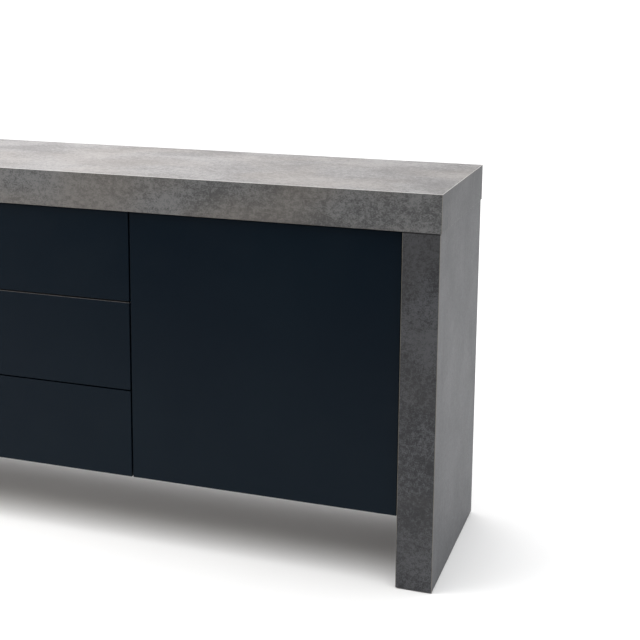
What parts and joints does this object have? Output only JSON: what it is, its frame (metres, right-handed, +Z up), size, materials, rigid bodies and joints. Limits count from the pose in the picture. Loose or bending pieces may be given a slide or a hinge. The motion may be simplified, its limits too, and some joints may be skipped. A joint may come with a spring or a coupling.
{
  "type": "dresser with drawers",
  "caption": "Low slab-sided sideboard in concrete-effect laminate with handleless dark doors and a stack of push-to-open drawers.",
  "frame": {"origin": "centre of the footprint on the floor", "axes": "+X along the length to the right seen from the front, +Y to the back, +Z up; the fronts face -Y"},
  "size_m": [1.8, 0.39, 0.76],
  "materials": {
    "concrete_laminate": "matte concrete-effect laminate on board",
    "dark_front": "matte blue-black lacquered board",
    "carcass_board": "anthracite melamine board",
    "drawer_board": "light grey melamine board",
    "raw_board": "raw chipboard",
    "back_board": "anthracite-faced hardboard",
    "zinc_steel": "bright zinc plate",
    "cam_alloy": "cast zinc alloy",
    "black_steel": "black zinc plate",
    "latch_plastic": "moulded dark grey plastic",
    "plunger_plastic": "moulded grey plastic",
    "glide_plastic": "dark moulded plastic",
    "dowel_beech": "plain beech"
  },
  "bodies": {
    "cabinet": {"top_shell": "concrete_laminate", "top_underboard": "concrete_laminate", "top_core": "raw_board", "leg_shell_right": "concrete_laminate", "leg_shell_left": "concrete_laminate", "leg_inner_right": "concrete_laminate", "leg_inner_left": "concrete_laminate", "leg_cores": "raw_board", "floor_glides": "glide_plastic", "bottom_panel": "carcass_board", "divider_right": "carcass_board", "divider_left": "carcass_board", "back_panel_right": "back_board", "back_panel_center": "back_board", "back_panel_left": "back_board", "back_cleats": "carcass_board", "shelf_right": "carcass_board", "shelf_left": "carcass_board", "shelf_pins": "zinc_steel", "cam_locks": "cam_alloy", "cam_bolts": "zinc_steel", "dowels": "dowel_beech", "confirmat_screws": "zinc_steel", "back_screws": "black_steel", "wall_brackets": "zinc_steel", "panhead_screws": "zinc_steel", "hinge_arms": "zinc_steel", "hinge_plates": "zinc_steel", "latch_housings": "latch_plastic", "fixed_runners": "zinc_steel"},
    "drawer_1": {"drawer_1_front": "dark_front", "drawer_1_sides": "drawer_board", "drawer_1_back": "drawer_board", "drawer_1_bottom": "drawer_board", "drawer_1_fixings": "cam_alloy", "drawer_1_runner": "zinc_steel"},
    "drawer_1_rails": {"drawer_1_rail": "zinc_steel"},
    "drawer_1_latch": {"drawer_1_plunger": "plunger_plastic"},
    "drawer_2": {"drawer_2_front": "dark_front", "drawer_2_sides": "drawer_board", "drawer_2_back": "drawer_board", "drawer_2_bottom": "drawer_board", "drawer_2_fixings": "cam_alloy", "drawer_2_runner": "zinc_steel"},
    "drawer_2_rails": {"drawer_2_rail": "zinc_steel"},
    "drawer_2_latch": {"drawer_2_plunger": "plunger_plastic"},
    "drawer_3": {"drawer_3_front": "dark_front", "drawer_3_sides": "drawer_board", "drawer_3_back": "drawer_board", "drawer_3_bottom": "drawer_board", "drawer_3_fixings": "cam_alloy", "drawer_3_runner": "zinc_steel"},
    "drawer_3_rails": {"drawer_3_rail": "zinc_steel"},
    "drawer_3_latch": {"drawer_3_plunger": "plunger_plastic"},
    "door_right": {"door_right": "dark_front", "door_right_cups": "zinc_steel"},
    "door_right_latch": {"door_right_plunger": "plunger_plastic"},
    "door_left": {"door_left": "dark_front", "door_left_cups": "zinc_steel"},
    "door_left_latch": {"door_left_plunger": "plunger_plastic"}
  },
  "joints": [
    {"name": "drawer_1_slide", "type": "slide", "parent": "cabinet", "child": "drawer_1", "axis": [0, -1, 0], "range_m": [0, 0.26]},
    {"name": "drawer_1_rail_slide", "type": "slide", "parent": "cabinet", "child": "drawer_1_rails", "axis": [0, -1, 0], "range_m": [0, 0.13]},
    {"name": "drawer_1_latch_slide", "type": "slide", "parent": "cabinet", "child": "drawer_1_latch", "axis": [0, -1, 0], "range_m": [0, 0.01]},
    {"name": "drawer_2_slide", "type": "slide", "parent": "cabinet", "child": "drawer_2", "axis": [0, -1, 0], "range_m": [0, 0.26]},
    {"name": "drawer_2_rail_slide", "type": "slide", "parent": "cabinet", "child": "drawer_2_rails", "axis": [0, -1, 0], "range_m": [0, 0.13]},
    {"name": "drawer_2_latch_slide", "type": "slide", "parent": "cabinet", "child": "drawer_2_latch", "axis": [0, -1, 0], "range_m": [0, 0.01]},
    {"name": "drawer_3_slide", "type": "slide", "parent": "cabinet", "child": "drawer_3", "axis": [0, -1, 0], "range_m": [0, 0.26]},
    {"name": "drawer_3_rail_slide", "type": "slide", "parent": "cabinet", "child": "drawer_3_rails", "axis": [0, -1, 0], "range_m": [0, 0.13]},
    {"name": "drawer_3_latch_slide", "type": "slide", "parent": "cabinet", "child": "drawer_3_latch", "axis": [0, -1, 0], "range_m": [0, 0.01]},
    {"name": "door_right_hinge", "type": "hinge", "parent": "cabinet", "child": "door_right", "pos_m": [0.825, -0.185, 0.4125], "axis": [0, 0, 1], "range_deg": [0, 100]},
    {"name": "door_right_latch_slide", "type": "slide", "parent": "cabinet", "child": "door_right_latch", "axis": [0, -1, 0], "range_m": [0, 0.01]},
    {"name": "door_left_hinge", "type": "hinge", "parent": "cabinet", "child": "door_left", "pos_m": [-0.825, -0.185, 0.4125], "axis": [0, 0, -1], "range_deg": [0, 100]},
    {"name": "door_left_latch_slide", "type": "slide", "parent": "cabinet", "child": "door_left_latch", "axis": [0, -1, 0], "range_m": [0, 0.01]}
  ],
  "couplings": [
    {"joint": "drawer_1_rail_slide", "follows": "drawer_1_slide", "ratio": 0.5},
    {"joint": "drawer_1_latch_slide", "follows": "drawer_1_slide", "ratio": 0.035},
    {"joint": "drawer_2_rail_slide", "follows": "drawer_2_slide", "ratio": 0.5},
    {"joint": "drawer_2_latch_slide", "follows": "drawer_2_slide", "ratio": 0.035},
    {"joint": "drawer_3_rail_slide", "follows": "drawer_3_slide", "ratio": 0.5},
    {"joint": "drawer_3_latch_slide", "follows": "drawer_3_slide", "ratio": 0.035},
    {"joint": "door_right_latch_slide", "follows": "door_right_hinge", "m_per_rad": 0.0055},
    {"joint": "door_left_latch_slide", "follows": "door_left_hinge", "m_per_rad": 0.0055}
  ]
}
